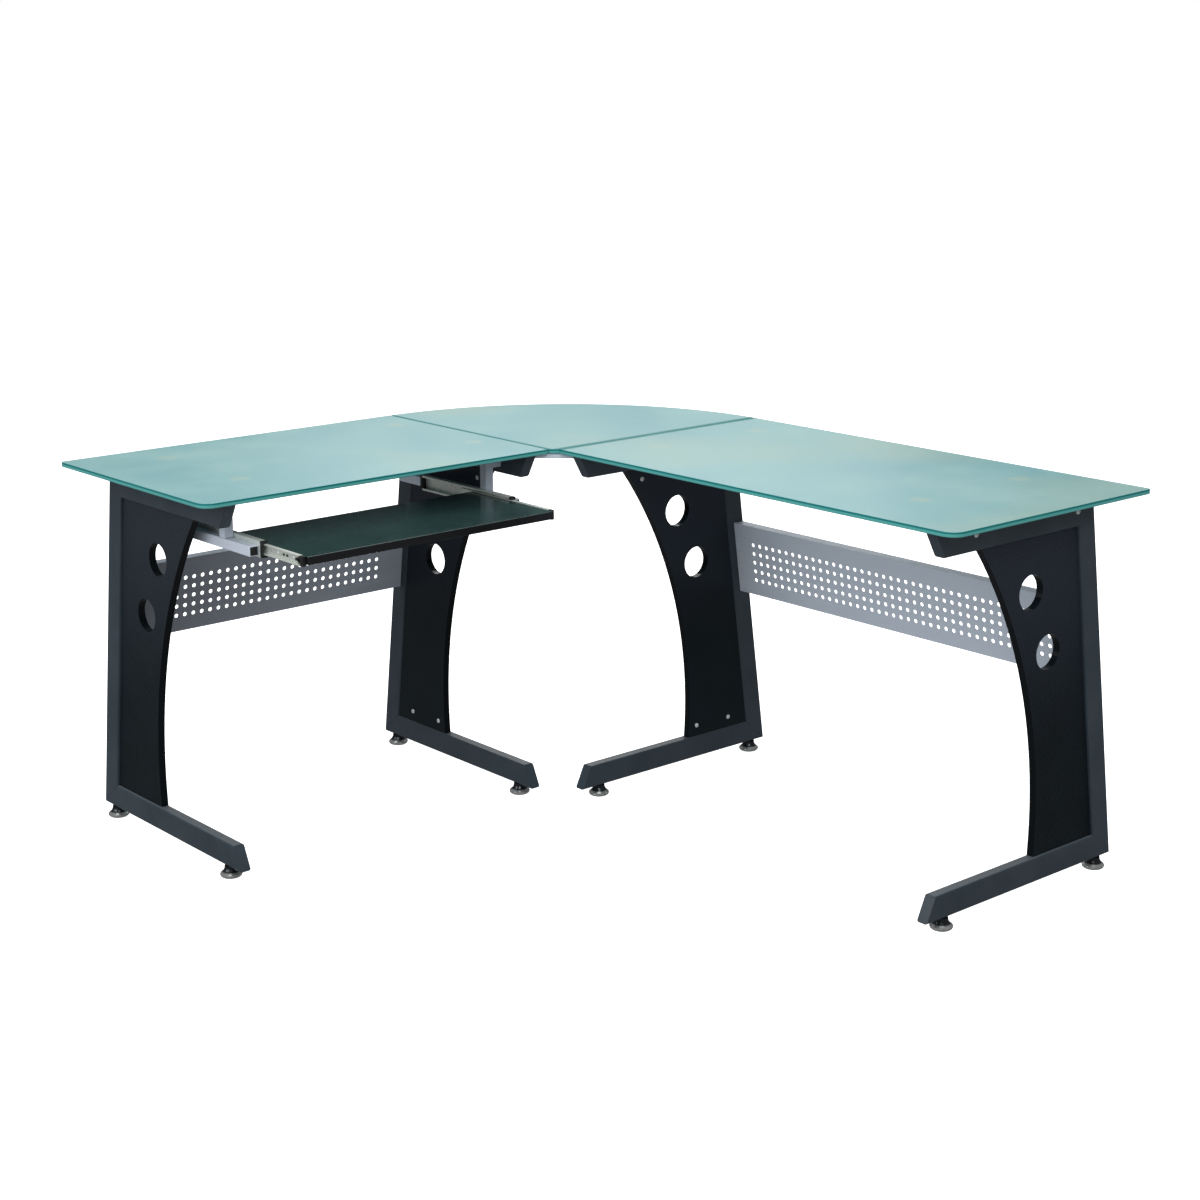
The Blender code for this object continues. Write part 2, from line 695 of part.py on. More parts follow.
GLASS = make_material("frosted_glass", (0.44, 0.64, 0.66), 0.35, 0.0, 0.92)
FRAME = make_material("graphite_powder_coat", (0.045, 0.053, 0.060), 0.45, 0.30)
PANEL = make_material("black_panel", (0.012, 0.016, 0.022), 0.55)
SHEET = make_material("silver_sheet", (0.30, 0.34, 0.37), 0.38, 0.60)
CHROME = make_material("chrome", (0.62, 0.63, 0.64), 0.12, 1.0)
RUBBER = make_material("glass_pad", (0.10, 0.14, 0.15), 0.60)
BOARD = make_material("tray_laminate", (0.030, 0.050, 0.048), 0.30)
ZINC = make_material("zinc_slide", (0.42, 0.43, 0.38), 0.35, 0.90)
CAGE = make_material("ball_cage", (0.50, 0.50, 0.48), 0.40, 0.80)
PLASTIC = make_material("black_plastic", (0.015, 0.016, 0.018), 0.50)

DESK = add_empty("desk", None, DESK_ORIGIN)
TRAY_Y = TRAY_CLOSED_FRONT_Y - TRAY_REST_OUT
TRAY_AXIS = add_empty("axis_tray", DESK, (0.0, TRAY_Y, 0.0))

add_glass()
for leg_letter in LEG_S:
    add_leg(leg_letter)
add_glides(glide_mesh())
for wing_name in WING_SPAN:
    add_back_panel(wing_name)
    add_glass_supports(wing_name)
add_corner_supports()
add_tray_board()
for side_name in ("left", "right"):
    add_slide(side_name)
    add_carrier(side_name)
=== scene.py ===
"""Looks of the L-shaped glass computer desk: materials, small hardware, light, floor and camera."""

import json
import math

import bmesh
import bpy
from mathutils import Matrix, Vector


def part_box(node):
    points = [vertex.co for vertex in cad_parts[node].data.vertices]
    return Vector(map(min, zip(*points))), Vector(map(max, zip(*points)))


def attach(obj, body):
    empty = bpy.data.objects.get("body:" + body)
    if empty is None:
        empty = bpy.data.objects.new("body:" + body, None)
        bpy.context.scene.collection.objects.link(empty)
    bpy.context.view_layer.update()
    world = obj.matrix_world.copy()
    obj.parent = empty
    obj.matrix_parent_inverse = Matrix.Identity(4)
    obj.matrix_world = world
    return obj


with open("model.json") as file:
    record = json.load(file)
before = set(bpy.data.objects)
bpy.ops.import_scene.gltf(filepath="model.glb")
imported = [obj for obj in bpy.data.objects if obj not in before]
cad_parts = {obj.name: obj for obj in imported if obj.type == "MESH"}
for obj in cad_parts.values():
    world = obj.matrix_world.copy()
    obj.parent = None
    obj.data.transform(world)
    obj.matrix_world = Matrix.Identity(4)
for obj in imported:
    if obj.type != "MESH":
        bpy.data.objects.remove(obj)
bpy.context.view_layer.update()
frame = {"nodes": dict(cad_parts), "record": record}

# Camera
CAMERA_PLACE = (-2.6440, -3.1384, 1.5774)
CAMERA_YAW = -40.523
CAMERA_PITCH = 11.989
CAMERA_ROLL = -0.381
CAMERA_LENS = 64.92
CAMERA_SENSOR = 36.0
CAMERA_SHIFT_Y = -0.0844
CAMERA_CLIP = (0.05, 100.0)

# Lights: name, place, target, size and watts
LIGHTS = (
    ("key", (-1.6, -2.6, 3.4), (0, 0, 0.4), (2.6, 2.6), 100.0),
    ("fill", (-3.6, 0.6, 2.0), (0, 0, 0.4), (2.4, 2.4), 58.0),
    ("top", (0.4, 0.6, 3.6), (0, 0, 0.7), (3.2, 3.2), 80.0),
    ("back", (2.4, 2.8, 2.4), (0, 0, 0.5), (2.4, 1.6), 26.0),
)

# Colours, linear
AQUA = (0.145, 0.300, 0.320, 1)
AQUA_PALE = (0.208, 0.352, 0.352, 1)
AQUA_WARM = (0.295, 0.360, 0.280, 1)
# Teal of the glass edge with its painted shade and painted shadow; the mid teal is the edge's own colour
# and also its painted top highlight
EDGE_SHADE_TEAL = (0.011, 0.150, 0.150, 1)
EDGE_MID = (0.075, 0.320, 0.310, 1)
EDGE_SHADOW_GREY = (0.075, 0.200, 0.205, 1)
GRAPHITE = (0.023, 0.037, 0.050, 1)
GRAPHITE_PALE = (0.033, 0.048, 0.063, 1)
# Painted light on faces that look up
GRAPHITE_LIT_TOP = (0.085, 0.102, 0.116, 1)
NAVY_BLACK = (0.0025, 0.0068, 0.0098, 1)
NAVY_PALE = (0.0050, 0.0110, 0.0160, 1)
NAVY_LIT = (0.0190, 0.0250, 0.0370, 1)
NAVY_EDGE = (0.0018, 0.0034, 0.0050, 1)
SILVER = (0.510, 0.575, 0.670, 1)
SILVER_PALE = (0.590, 0.650, 0.740, 1)
# Painted shade for the left back panel, painted light for the right one
SILVER_SHADE = (0.205, 0.225, 0.265, 1)
SILVER_EVEN_LIT = (0.570, 0.640, 0.740, 1)
STEEL = (0.720, 0.740, 0.740, 1)
STEEL_PALE = (0.820, 0.830, 0.820, 1)
CHROME = (0.660, 0.680, 0.680, 1)
CHROME_DARK = (0.400, 0.420, 0.415, 1)
GLIDE_NECK_SHADE = (0.035, 0.040, 0.045, 1)
ZINC = (0.580, 0.630, 0.585, 1)
ZINC_PALE = (0.740, 0.790, 0.745, 1)
LAMINATE = (0.0130, 0.0310, 0.0300, 1)
LAMINATE_PALE = (0.0180, 0.0400, 0.0380, 1)
BLACK = (0.0060, 0.0065, 0.0075, 1)
BLACK_PALE = (0.0110, 0.0120, 0.0140, 1)
PAD_GREY = (0.030, 0.045, 0.048, 1)
PAD_GREY_PALE = (0.045, 0.062, 0.066, 1)
WHITE = (1.0, 1.0, 1.0, 1.0)
FLOOR_TONE = (0.80, 0.80, 0.80, 1)
FLOOR_PALE = (0.82, 0.82, 0.82, 1)

# Brightness of the surroundings as the camera, matt surfaces and reflections meet it
WORLD_CAMERA = 1.0
WORLD_DIFFUSE = 0.50
WORLD_REFLECTED = 0.16
FLOOR_GLOW = 0.97

# Measures, in metres
FLOOR_SIZE = 30.0
FLOOR_DROP = 0.0004
GLASS_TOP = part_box("glass_left")[1].z
GLASS_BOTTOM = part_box("glass_left")[0].z
LEFT_SEAM_X = (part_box("glass_left")[1].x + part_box("glass_corner")[0].x) / 2
RIGHT_SEAM_Y = (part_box("glass_right")[1].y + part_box("glass_corner")[0].y) / 2
# Axis, place, half width and strength of the painted dark teal shade along each seam of the glass
SEAM_SHADE_LINES = (("X", LEFT_SEAM_X, 0.0070, 0.85), ("Y", RIGHT_SEAM_Y, 0.0130, 1.00))
LEFT_REAR_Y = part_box("glass_left")[1].y
RIGHT_REAR_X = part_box("glass_right")[1].x
PAD_RADIUS = 0.020
PAD_RIM = 0.008
PAD_STRENGTH = 0.38
LEFT_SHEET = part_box("back_panel_left")
RIGHT_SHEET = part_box("back_panel_right")
# Axis, start, end and tone of the fade on each back panel: painted shade on the left panel that fades out
# along X, and on the right panel an even tone of painted light that gives way to the streaked one towards
# its high-Y end
LEFT_SHADE_FADE = ("X", LEFT_SHEET[0].x + 0.05, LEFT_SHEET[1].x + 0.25, SILVER_SHADE)
RIGHT_LIGHT_FADE = ("Y", RIGHT_SHEET[1].y - 0.10, RIGHT_SHEET[1].y, SILVER_EVEN_LIT)
SOFT_EDGE = 0.0010
PANEL_EDGE = 0.0014
# Heights over which painted light makes the leg panels paler towards the top
PANEL_DARK_Z = 0.25
PANEL_LIT_Z = 0.70
# Heights of the painted shade on the necks of the glides, under the bars
NECK_START_Z = (0.0095, 0.0115)
NECK_END_Z = (0.06, 0.08)
HEAD_SINK = 0.0003
SCREW_RADIUS = 0.0050
SCREW_HEIGHT = 0.0024
# Distance in front of the glass rear edge and height above the floor
PANEL_SCREWS = ((0.116, 0.0955), (0.212, 0.0960), (0.371, 0.6720))
BAR_BOLTS = ((0.438, 0.7251), (0.150, 0.7240))
BAR_BOLT_RADIUS = 0.0056
BAR_BOLT_HEIGHT = 0.0034
SINK = 0.0002
PLUG_INSET = 0.0018
PLUG_THICK = 0.0006
PLUG_MIDDLE_INSET = PLUG_INSET * 2.4
PLUG_MIDDLE_THICK = PLUG_THICK * 1.8
PLUG_SOFT = 0.0003
BUMPER_LENGTH = 0.007
BUMPER_CLEAR = 0.0007
BUMPER_GAP = 0.0002
BUMPER_OVERLAP = 0.0004
BUMPER_SOFT = 0.0004
STOP_LIP = 0.0006
STOP_BACK = 0.001
BALL_RADIUS = 0.0020
BALL_PITCH = 0.0072
BALL_Z = 0.0124
BALL_FROM_WEB = 0.0065
FIRST_BALL = 0.006
CAGE_BORDERS = 0.010
WEB_WALL = 0.0012
WEB_SCREW_RADIUS = 0.0036
WEB_SCREW_HEIGHT = 0.0014
WEB_SCREWS = (0.030, 0.082)
WEB_SLOTS = (0.050, 0.062)
SLOT_HALF_LENGTH = 0.0035
SLOT_HALF_HEIGHT = 0.0022
SLOT_RISE = 0.0004
SLOT_SOFT = 0.0002
LEVER_START = 0.0006
LEVER_LENGTH = 0.016
LEVER_HEAD_LENGTH = LEVER_LENGTH * 0.45
LEVER_HEAD_HALF = 0.0062
LEVER_ARM_BELOW = 0.0022
LEVER_ARM_ABOVE = 0.0030
LEVER_RISE = 0.0048
LEVER_SOFT = 0.0005

# Shares of a screw head's radius and height, and the faces it is turned with
SOCKET_SHARE = 0.34
SOCKET_FLOOR_SHARE = 0.35
RIM_SHARE = 0.25
DOME_STEPS = 6
HEAD_STEPS = 24

# Angles: turns of the first screws in radians, limits of sharp and softened edges in degrees
PANEL_SCREW_TURN = 0.4
BAR_BOLT_TURN = 0.3
WEB_SCREW_TURN = 0.5
SHARP_ANGLE = 35
SOFT_ANGLE = 50

# The wing of each leg, and the way its panel faces inwards under the desk
LEGS = {
    "a": ("left", Vector((1, 0, 0))),
    "b": ("left", Vector((-1, 0, 0))),
    "c": ("right", Vector((0, -1, 0))),
    "d": ("right", Vector((0, 1, 0))),
}


# ---- node helpers ----

class Shader:
    """A Principled material with its texture coordinates, and short calls that add nodes to it."""

    def __init__(self, name):
        self.material = bpy.data.materials.new(name)
        self.material.use_nodes = True
        self.tree = self.material.node_tree
        self.surface = self.tree.nodes["Principled BSDF"]
        self.place = self.tree.nodes.new("ShaderNodeTexCoord").outputs["Object"]

    def node(self, kind, **values):
        made = self.tree.nodes.new(kind)
        for key, value in values.items():
            setattr(made, key, value)
        return made

    def link(self, output, target):
        self.tree.links.new(output, target)

    def noise(self, scale, detail=3.0, roughness=0.55, stretch=None):
        made = self.node("ShaderNodeTexNoise")
        made.inputs["Scale"].default_value = scale
        made.inputs["Detail"].default_value = detail
        made.inputs["Roughness"].default_value = roughness
        place = self.place
        if stretch:
            mapping = self.node("ShaderNodeMapping")
            mapping.inputs["Scale"].default_value = stretch
            self.link(place, mapping.inputs["Vector"])
            place = mapping.outputs["Vector"]
        self.link(place, made.inputs["Vector"])
        return made.outputs["Fac"]

    def cells(self, scale):
        made = self.node("ShaderNodeTexVoronoi", feature="SMOOTH_F1")
        made.inputs["Scale"].default_value = scale
        self.link(self.place, made.inputs["Vector"])
        return made.outputs["Distance"]

    def ramp(self, factor, stops):
        made = self.node("ShaderNodeValToRGB")
        elements = made.color_ramp.elements
        while len(elements) < len(stops):
            elements.new(0.5)
        for element, (position, colour) in zip(elements, stops):
            element.position = position
            element.color = colour
        self.link(factor, made.inputs["Fac"])
        return made.outputs["Color"]

    def span(self, factor, low, high, out_low=0.0, out_high=1.0, smooth=False):
        made = self.node("ShaderNodeMapRange")
        if smooth:
            made.interpolation_type = "SMOOTHSTEP"
        made.inputs["From Min"].default_value = low
        made.inputs["From Max"].default_value = high
        made.inputs["To Min"].default_value = out_low
        made.inputs["To Max"].default_value = out_high
        self.link(factor, made.inputs["Value"])
        return made.outputs["Result"]

    def mix(self, factor, first, second):
        made = self.node("ShaderNodeMix", data_type="RGBA")
        for name, value in (("Factor", factor), ("A", first), ("B", second)):
            socket = next(s for s in made.inputs if s.name == name and s.enabled)
            if isinstance(value, bpy.types.NodeSocket):
                self.link(value, socket)
            else:
                socket.default_value = value
        return next(s for s in made.outputs if s.enabled)

    def maths(self, operation, first, second=None):
        made = self.node("ShaderNodeMath", operation=operation)
        for socket, value in zip(made.inputs, (first, second)):
            if isinstance(value, bpy.types.NodeSocket):
                self.link(value, socket)
            elif value is not None:
                socket.default_value = value
        return made.outputs["Value"]

    def axis(self, source, letter):
        made = self.node("ShaderNodeSeparateXYZ")
        self.link(source, made.inputs["Vector"])
        return made.outputs[letter]

    def normal(self):
        return self.node("ShaderNodeNewGeometry").outputs["Normal"]

    def near(self, point, radius, soft):
        """1 within a radius of a point, fading to 0 over a soft rim."""
        made = self.node("ShaderNodeVectorMath", operation="DISTANCE")
        self.link(self.place, made.inputs[0])
        made.inputs[1].default_value = point
        return self.span(made.outputs["Value"], radius - soft, radius + soft, 1.0, 0.0, True)

    def bump(self, height, strength, distance):
        made = self.node("ShaderNodeBump")
        made.inputs["Strength"].default_value = strength
        made.inputs["Distance"].default_value = distance
        self.link(height, made.inputs["Height"])
        if self.surface.inputs["Normal"].links:
            self.link(self.surface.inputs["Normal"].links[0].from_socket, made.inputs["Normal"])
        self.link(made.outputs["Normal"], self.surface.inputs["Normal"])

    def paint(self, colour):
        self.link(colour, self.surface.inputs["Base Color"])

    def rough(self, value):
        self.link(value, self.surface.inputs["Roughness"])

    def fixed(self, **values):
        for name, value in values.items():
            self.surface.inputs[name.replace("_", " ")].default_value = value


# ---- materials ----

def frosted_glass():
    """Pale aqua frosted sheet; on its polished edge, stripes of painted shadow, painted reflection and
    painted highlight stand for the light that thick glass bends there, and painted shade runs dark teal
    along each seam.
    """
    shader = Shader("frosted_glass")
    cloud = shader.noise(3.2, 4.0, 0.6)
    drift = shader.noise(1.3, 2.0, 0.5)
    face = shader.mix(shader.span(cloud, 0.38, 0.66), AQUA, AQUA_PALE)
    face = shader.mix(shader.span(drift, 0.50, 0.70, 0.0, 0.60), face, AQUA_WARM)
    for node in sorted(frame["nodes"]):
        if node.startswith("pad_"):
            low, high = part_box(node)
            point = ((low.x + high.x) / 2, (low.y + high.y) / 2, GLASS_TOP)
            mask = shader.maths("MULTIPLY", shader.near(point, PAD_RADIUS, PAD_RIM), PAD_STRENGTH)
            face = shader.mix(mask, face, AQUA_WARM)
    # Painted shade: a dark teal stripe along each seam
    for letter, seam, width, strength in SEAM_SHADE_LINES:
        offset = shader.maths("SUBTRACT", shader.axis(shader.place, letter), seam)
        seam_shade = shader.span(shader.maths("ABSOLUTE", offset), width * 0.8, width, strength, 0.0, True)
        face = shader.mix(seam_shade, face, EDGE_SHADE_TEAL)
    height = shader.axis(shader.place, "Z")
    level = shader.span(height, GLASS_BOTTOM, GLASS_TOP)
    # Painted light on the edge: a painted shadow at the bottom, a painted reflection as a dark stripe
    # near the top, and a painted highlight at the very top
    edge_light_stripes = shader.ramp(level, (
        (0.00, EDGE_SHADOW_GREY), (0.22, EDGE_MID), (0.52, EDGE_MID), (0.68, EDGE_SHADE_TEAL),
        (0.90, EDGE_SHADE_TEAL), (1.00, EDGE_MID),
    ))
    upright = shader.maths("ABSOLUTE", shader.axis(shader.normal(), "Z"))
    side = shader.span(upright, 0.80, 0.97, 1.0, 0.0)
    shader.paint(shader.mix(side, face, edge_light_stripes))
    frost = shader.span(cloud, 0.3, 0.7, 0.34, 0.46)
    shader.rough(shader.maths("SUBTRACT", frost, shader.maths("MULTIPLY", side, 0.22)))
    shader.bump(shader.noise(1400.0, 2.0), 0.05, 0.0002)
    shader.fixed(IOR=1.5, Specular_IOR_Level=0.16, Coat_Weight=0.06, Coat_Roughness=0.25)
    return shader.material


def powder_coat():
    """Graphite powder coat with a fine orange-peel texture, and painted light that makes it paler where
    it faces up.
    """
    shader = Shader("graphite_powder_coat")
    patch = shader.noise(9.0, 3.0)
    coat = shader.mix(shader.span(patch, 0.35, 0.68), GRAPHITE, GRAPHITE_PALE)
    # Painted light: faces that look up are paler, as if lit from above
    painted_top_light = shader.span(shader.axis(shader.normal(), "Z"), 0.75, 0.97)
    shader.paint(shader.mix(painted_top_light, coat, GRAPHITE_LIT_TOP))
    shader.rough(shader.span(shader.noise(60.0, 3.0), 0.3, 0.7, 0.34, 0.46))
    shader.bump(shader.noise(1100.0, 3.0), 0.16, 0.0004)
    shader.bump(shader.noise(240.0, 2.0), 0.08, 0.0006)
    shader.fixed(Specular_IOR_Level=0.50)
    return shader.material


def leg_panel(letter):
    """Black foil on board: leather-like outer face, smoother inner face, and painted light that makes it
    paler towards the top, under the glass.

    Its edges are darker and glossier than its faces.
    """
    shader = Shader(f"leg_panel_{letter}")
    inward = LEGS[letter][1]
    axis = "X" if inward.x else "Y"
    sideways = shader.axis(shader.normal(), axis)
    ends = (1.0, 0.0) if sum(inward) > 0 else (0.0, 1.0)
    outer = shader.span(sideways, -0.5, 0.5, *ends)
    patch = shader.noise(5.0, 4.0, 0.6)
    low_tone = shader.mix(shader.span(patch, 0.35, 0.7), NAVY_BLACK, NAVY_PALE)
    # Painted light: paler towards the top, as from the glass above
    lit = shader.span(shader.axis(shader.place, "Z"), PANEL_DARK_Z, PANEL_LIT_Z, 0.0, 1.0, True)
    face = shader.mix(lit, low_tone, NAVY_LIT)
    rim = shader.span(shader.maths("ABSOLUTE", sideways), 0.45, 0.85, 1.0, 0.0)
    shader.paint(shader.mix(rim, face, NAVY_EDGE))
    satin = shader.span(outer, 0.0, 1.0, 0.30, 0.44)
    shader.rough(shader.maths("SUBTRACT", satin, shader.maths("MULTIPLY", rim, 0.14)))
    grain = shader.maths("ADD", shader.cells(300.0), shader.maths("MULTIPLY", shader.noise(700.0), 0.5))
    relief = shader.maths("MULTIPLY", outer, shader.maths("SUBTRACT", 1.0, rim))
    shader.bump(shader.maths("MULTIPLY", grain, relief), 0.90, 0.0016)
    shader.bump(shader.noise(700.0, 2.0), 0.06, 0.0003)
    shader.fixed(Specular_IOR_Level=0.20)
    return shader.material


def satin_silver(name="silver_sheet", fade=None):
    """Satin silver paint with faint rolling streaks and a fine grain.

    fade is an axis letter, where along it an even tone starts to give way to the streaked one and
    where it has gone, and that even tone, which is painted light and shade. Faces that look up or down
    are streaked throughout.
    """
    shader = Shader(name)
    streak = shader.noise(16.0, 4.0, 0.6, (0.35, 0.35, 3.0))
    tone = shader.mix(shader.span(streak, 0.3, 0.7), SILVER, SILVER_PALE)
    if fade:
        letter, start, end, dark = fade
        along = shader.span(shader.axis(shader.place, letter), start, end)
        flat = shader.span(shader.maths("ABSOLUTE", shader.axis(shader.normal(), "Z")), 0.5, 0.9)
        # The even tone is painted shade on the left back panel and painted light on the right one
        tone = shader.mix(shader.maths("MAXIMUM", along, flat), dark, tone)
    shader.paint(tone)
    shader.rough(shader.span(shader.noise(45.0, 3.0), 0.3, 0.7, 0.32, 0.44))
    shader.bump(shader.noise(1600.0, 2.0), 0.08, 0.0002)
    shader.fixed(Metallic=0.10)
    return shader.material


def chrome():
    """Polished chrome with faint handling haze; painted shade darkens the necks of the glides, under the
    bars.
    """
    shader = Shader("chrome")
    haze = shader.noise(130.0, 4.0)
    plated = shader.mix(shader.span(haze, 0.35, 0.75), CHROME, CHROME_DARK)
    # Painted shade on the necks of the glides, under the bars
    height = shader.axis(shader.place, "Z")
    above_foot = shader.span(height, *NECK_START_Z)
    below_bar = shader.span(height, *NECK_END_Z, 1.0, 0.0)
    neck_shade = shader.maths("MULTIPLY", above_foot, below_bar)
    shader.paint(shader.mix(neck_shade, plated, GLIDE_NECK_SHADE))
    shader.rough(shader.span(haze, 0.3, 0.8, 0.10, 0.26))
    shader.bump(shader.noise(900.0, 2.0), 0.03, 0.0001)
    shader.fixed(Metallic=0.80)
    return shader.material


def zinc(name="zinc_slide"):
    """Rolled, zinc-plated steel with the faint olive cast of its passivation."""
    shader = Shader(name)
    rolled = shader.noise(30.0, 4.0, 0.6, (1.0, 0.12, 1.0))
    shader.paint(shader.mix(shader.span(rolled, 0.3, 0.7), ZINC, ZINC_PALE))
    shader.rough(shader.span(shader.noise(120.0, 3.0), 0.3, 0.7, 0.24, 0.42))
    shader.bump(rolled, 0.10, 0.0003)
    shader.fixed(Metallic=0.45)
    return shader.material


def laminate():
    """Dark satin laminate with a fine print, and black edge banding."""
    shader = Shader("tray_laminate")
    patch = shader.noise(7.0, 4.0, 0.6)
    print_tone = shader.mix(shader.span(patch, 0.35, 0.7), LAMINATE, LAMINATE_PALE)
    shader.rough(shader.span(shader.noise(35.0, 3.0), 0.3, 0.7, 0.15, 0.24))
    shader.bump(shader.noise(1300.0, 2.0), 0.04, 0.0001)
    flat = shader.span(shader.axis(shader.normal(), "Z"), 0.6, 0.9)
    shader.paint(shader.mix(flat, BLACK, print_tone))
    shader.fixed(Specular_IOR_Level=0.5)
    return shader.material


def bright_steel(name="bright_steel"):
    """Bright zinc-plated fastener steel."""
    shader = Shader(name)
    haze = shader.noise(500.0, 3.0)
    shader.paint(shader.mix(shader.span(haze, 0.35, 0.75), STEEL, STEEL_PALE))
    shader.rough(shader.span(haze, 0.3, 0.8, 0.28, 0.42))
    shader.bump(haze, 0.04, 0.0001)
    shader.fixed(Metallic=0.45)
    return shader.material


def dark_plastic(name, first=BLACK, second=BLACK_PALE):
    """Moulded plastic or rubber with a spark-eroded grain."""
    shader = Shader(name)
    patch = shader.noise(90.0, 3.0)
    shader.paint(shader.mix(shader.span(patch, 0.35, 0.7), first, second))
    shader.rough(shader.span(shader.noise(300.0, 2.0), 0.3, 0.7, 0.42, 0.6))
    shader.bump(shader.noise(1800.0, 2.0), 0.14, 0.0002)
    return shader.material


# ---- small geometry ----

def mesh_of(name, shape):
    mesh = bpy.data.meshes.new(name)
    bmesh.ops.recalc_face_normals(shape, faces=shape.faces)
    shape.to_mesh(mesh)
    shape.free()
    return mesh


def turned(name, profile, steps):
    """A solid of revolution about Z from (radius, height) points that start and end on the axis."""
    shape = bmesh.new()
    verts = [shape.verts.new((radius, 0.0, height)) for radius, height in profile]
    for first, second in zip(verts, verts[1:]):
        shape.edges.new((first, second))
    bmesh.ops.spin(
        shape, geom=shape.verts[:] + shape.edges[:], axis=(0, 0, 1), cent=(0, 0, 0),
        angle=math.tau, steps=steps, use_merge=True,
    )
    bmesh.ops.remove_doubles(shape, verts=shape.verts, dist=1e-6)
    return mesh_of(name, shape)


def blocks(name, corners):
    """One mesh of boxes, each between its low and its high corner."""
    shape = bmesh.new()
    for low, high in corners:
        low, high = Vector(low), Vector(high)
        place = Matrix.Translation((low + high) / 2) @ Matrix.Diagonal((*(high - low), 1.0))
        bmesh.ops.create_cube(shape, size=1.0, matrix=place)
    return mesh_of(name, shape)


def pan_head(name, radius, height):
    """A domed screw head standing on Z = 0, with a round socket."""
    socket = radius * SOCKET_SHARE
    floor = height * SOCKET_FLOOR_SHARE
    profile = [(0.0, floor), (socket, floor)]
    start = math.asin(SOCKET_SHARE)
    for step in range(DOME_STEPS + 1):
        angle = start + (math.pi / 2 - start) * step / DOME_STEPS
        rise = RIM_SHARE + (1 - RIM_SHARE) * math.cos(angle)
        profile.append((radius * math.sin(angle), height * rise))
    profile += [(radius, -HEAD_SINK), (0.0, -HEAD_SINK)]
    return turned(name, profile, HEAD_STEPS)


def add_piece(name, mesh, material, body, place=None, soft=None):
    """Links a piece, smooth except across its edges, and lets it ride on a CAD body."""
    obj = bpy.data.objects.new(name, mesh)
    bpy.context.scene.collection.objects.link(obj)
    if place is not None:
        obj.matrix_world = place
    mesh.materials.clear()
    mesh.materials.append(material)
    mesh.shade_smooth()
    mesh.set_sharp_from_angle(angle=math.radians(SHARP_ANGLE))
    if soft:
        soften(obj, soft)
    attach(obj, body)


def soften(obj, width, segments=2):
    """Rounds the real edges of a piece, so that they catch the light."""
    modifier = obj.modifiers.new("Soft_edges", "BEVEL")
    modifier.width = width
    modifier.segments = segments
    modifier.limit_method = "ANGLE"
    modifier.angle_limit = math.radians(SOFT_ANGLE)
    modifier.harden_normals = True


def facing(direction, point, turn):
    """A placement whose local +Z looks along a direction, turned about it."""
    look = Vector(direction).to_track_quat("Z", "Y").to_matrix().to_4x4()
    return Matrix.Translation(point) @ look @ Matrix.Rotation(turn, 4, "Z")


def on_leg(letter, u, z, node, outward):
    """A point on one flat side of a leg's node, at a distance u in front of the glass rear edge."""
    low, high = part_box(node)
    side = high if sum(outward) > 0 else low
    if LEGS[letter][0] == "left":
        return Vector((side.x, LEFT_REAR_Y - u, z))
    return Vector((RIGHT_REAR_X - u, side.y, z))


# ---- make ----

bpy.context.scene.view_settings.view_transform = "Standard"

steel_paint = bright_steel()
SLOT_PAINTS = {
    "frosted_glass": frosted_glass(),
    "graphite_powder_coat": powder_coat(),
    "silver_sheet": satin_silver(),
    "chrome": chrome(),
    "zinc_slide": zinc(),
    "ball_cage": zinc("ball_cage_steel"),
    "tray_laminate": laminate(),
    "black_plastic": dark_plastic("black_plastic"),
    "glass_pad": dark_plastic("glass_pad", PAD_GREY, PAD_GREY_PALE),
}
NODE_PAINTS = {
    "back_panel_left": satin_silver("silver_sheet_left_shaded", LEFT_SHADE_FADE),
    "back_panel_right": satin_silver("silver_sheet_right_lit", RIGHT_LIGHT_FADE),
}
for letter in LEGS:
    NODE_PAINTS[f"leg_{letter}_panel"] = leg_panel(letter)


def paint_cad():
    """Gives every CAD node its material, and softens the edges of the panels and the coated tubes."""
    slots = {row["node"]: row["material_slot"] for row in frame["record"]["subparts"]}
    for name, obj in frame["nodes"].items():
        slot = slots[name]
        obj.data.materials.clear()
        obj.data.materials.append(NODE_PAINTS.get(name) or SLOT_PAINTS[slot])
        if slot == "black_panel":
            soften(obj, PANEL_EDGE, 3)
        elif slot == "graphite_powder_coat":
            soften(obj, SOFT_EDGE)


def add_screws():
    """Three screws on the inner face of each leg panel, and two bolts outside on the top bar of leg d."""
    head = pan_head("panel_screw", SCREW_RADIUS, SCREW_HEIGHT)
    for letter, (_, inward) in LEGS.items():
        for index, (u, z) in enumerate(PANEL_SCREWS):
            point = on_leg(letter, u, z, f"leg_{letter}_panel", inward)
            place = facing(inward, point, PANEL_SCREW_TURN + index)
            add_piece(f"panel_screw_{letter}_{index}", head.copy(), steel_paint, "desk_frame", place)
    bolt = pan_head("bar_bolt", BAR_BOLT_RADIUS, BAR_BOLT_HEIGHT)
    for index, (u, z) in enumerate(BAR_BOLTS):
        outward = -LEGS["d"][1]
        point = on_leg("d", u, z, "leg_d_top_bar", outward)
        place = facing(outward, point, BAR_BOLT_TURN + index)
        add_piece(f"bar_bolt_{index}", bolt.copy(), steel_paint, "desk_frame", place)


def side_of(side):
    """+1 when the tray lies towards +X from a slide, -1 when it lies towards -X."""
    return 1 if side == "left" else -1


def across(side, near, far):
    """Two X values in rising order, from distances measured from the channel's web to the tray."""
    low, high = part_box(f"slide_channel_{side}")
    web = low.x if side == "left" else high.x
    first, second = web + side_of(side) * near, web + side_of(side) * far
    return min(first, second), max(first, second)


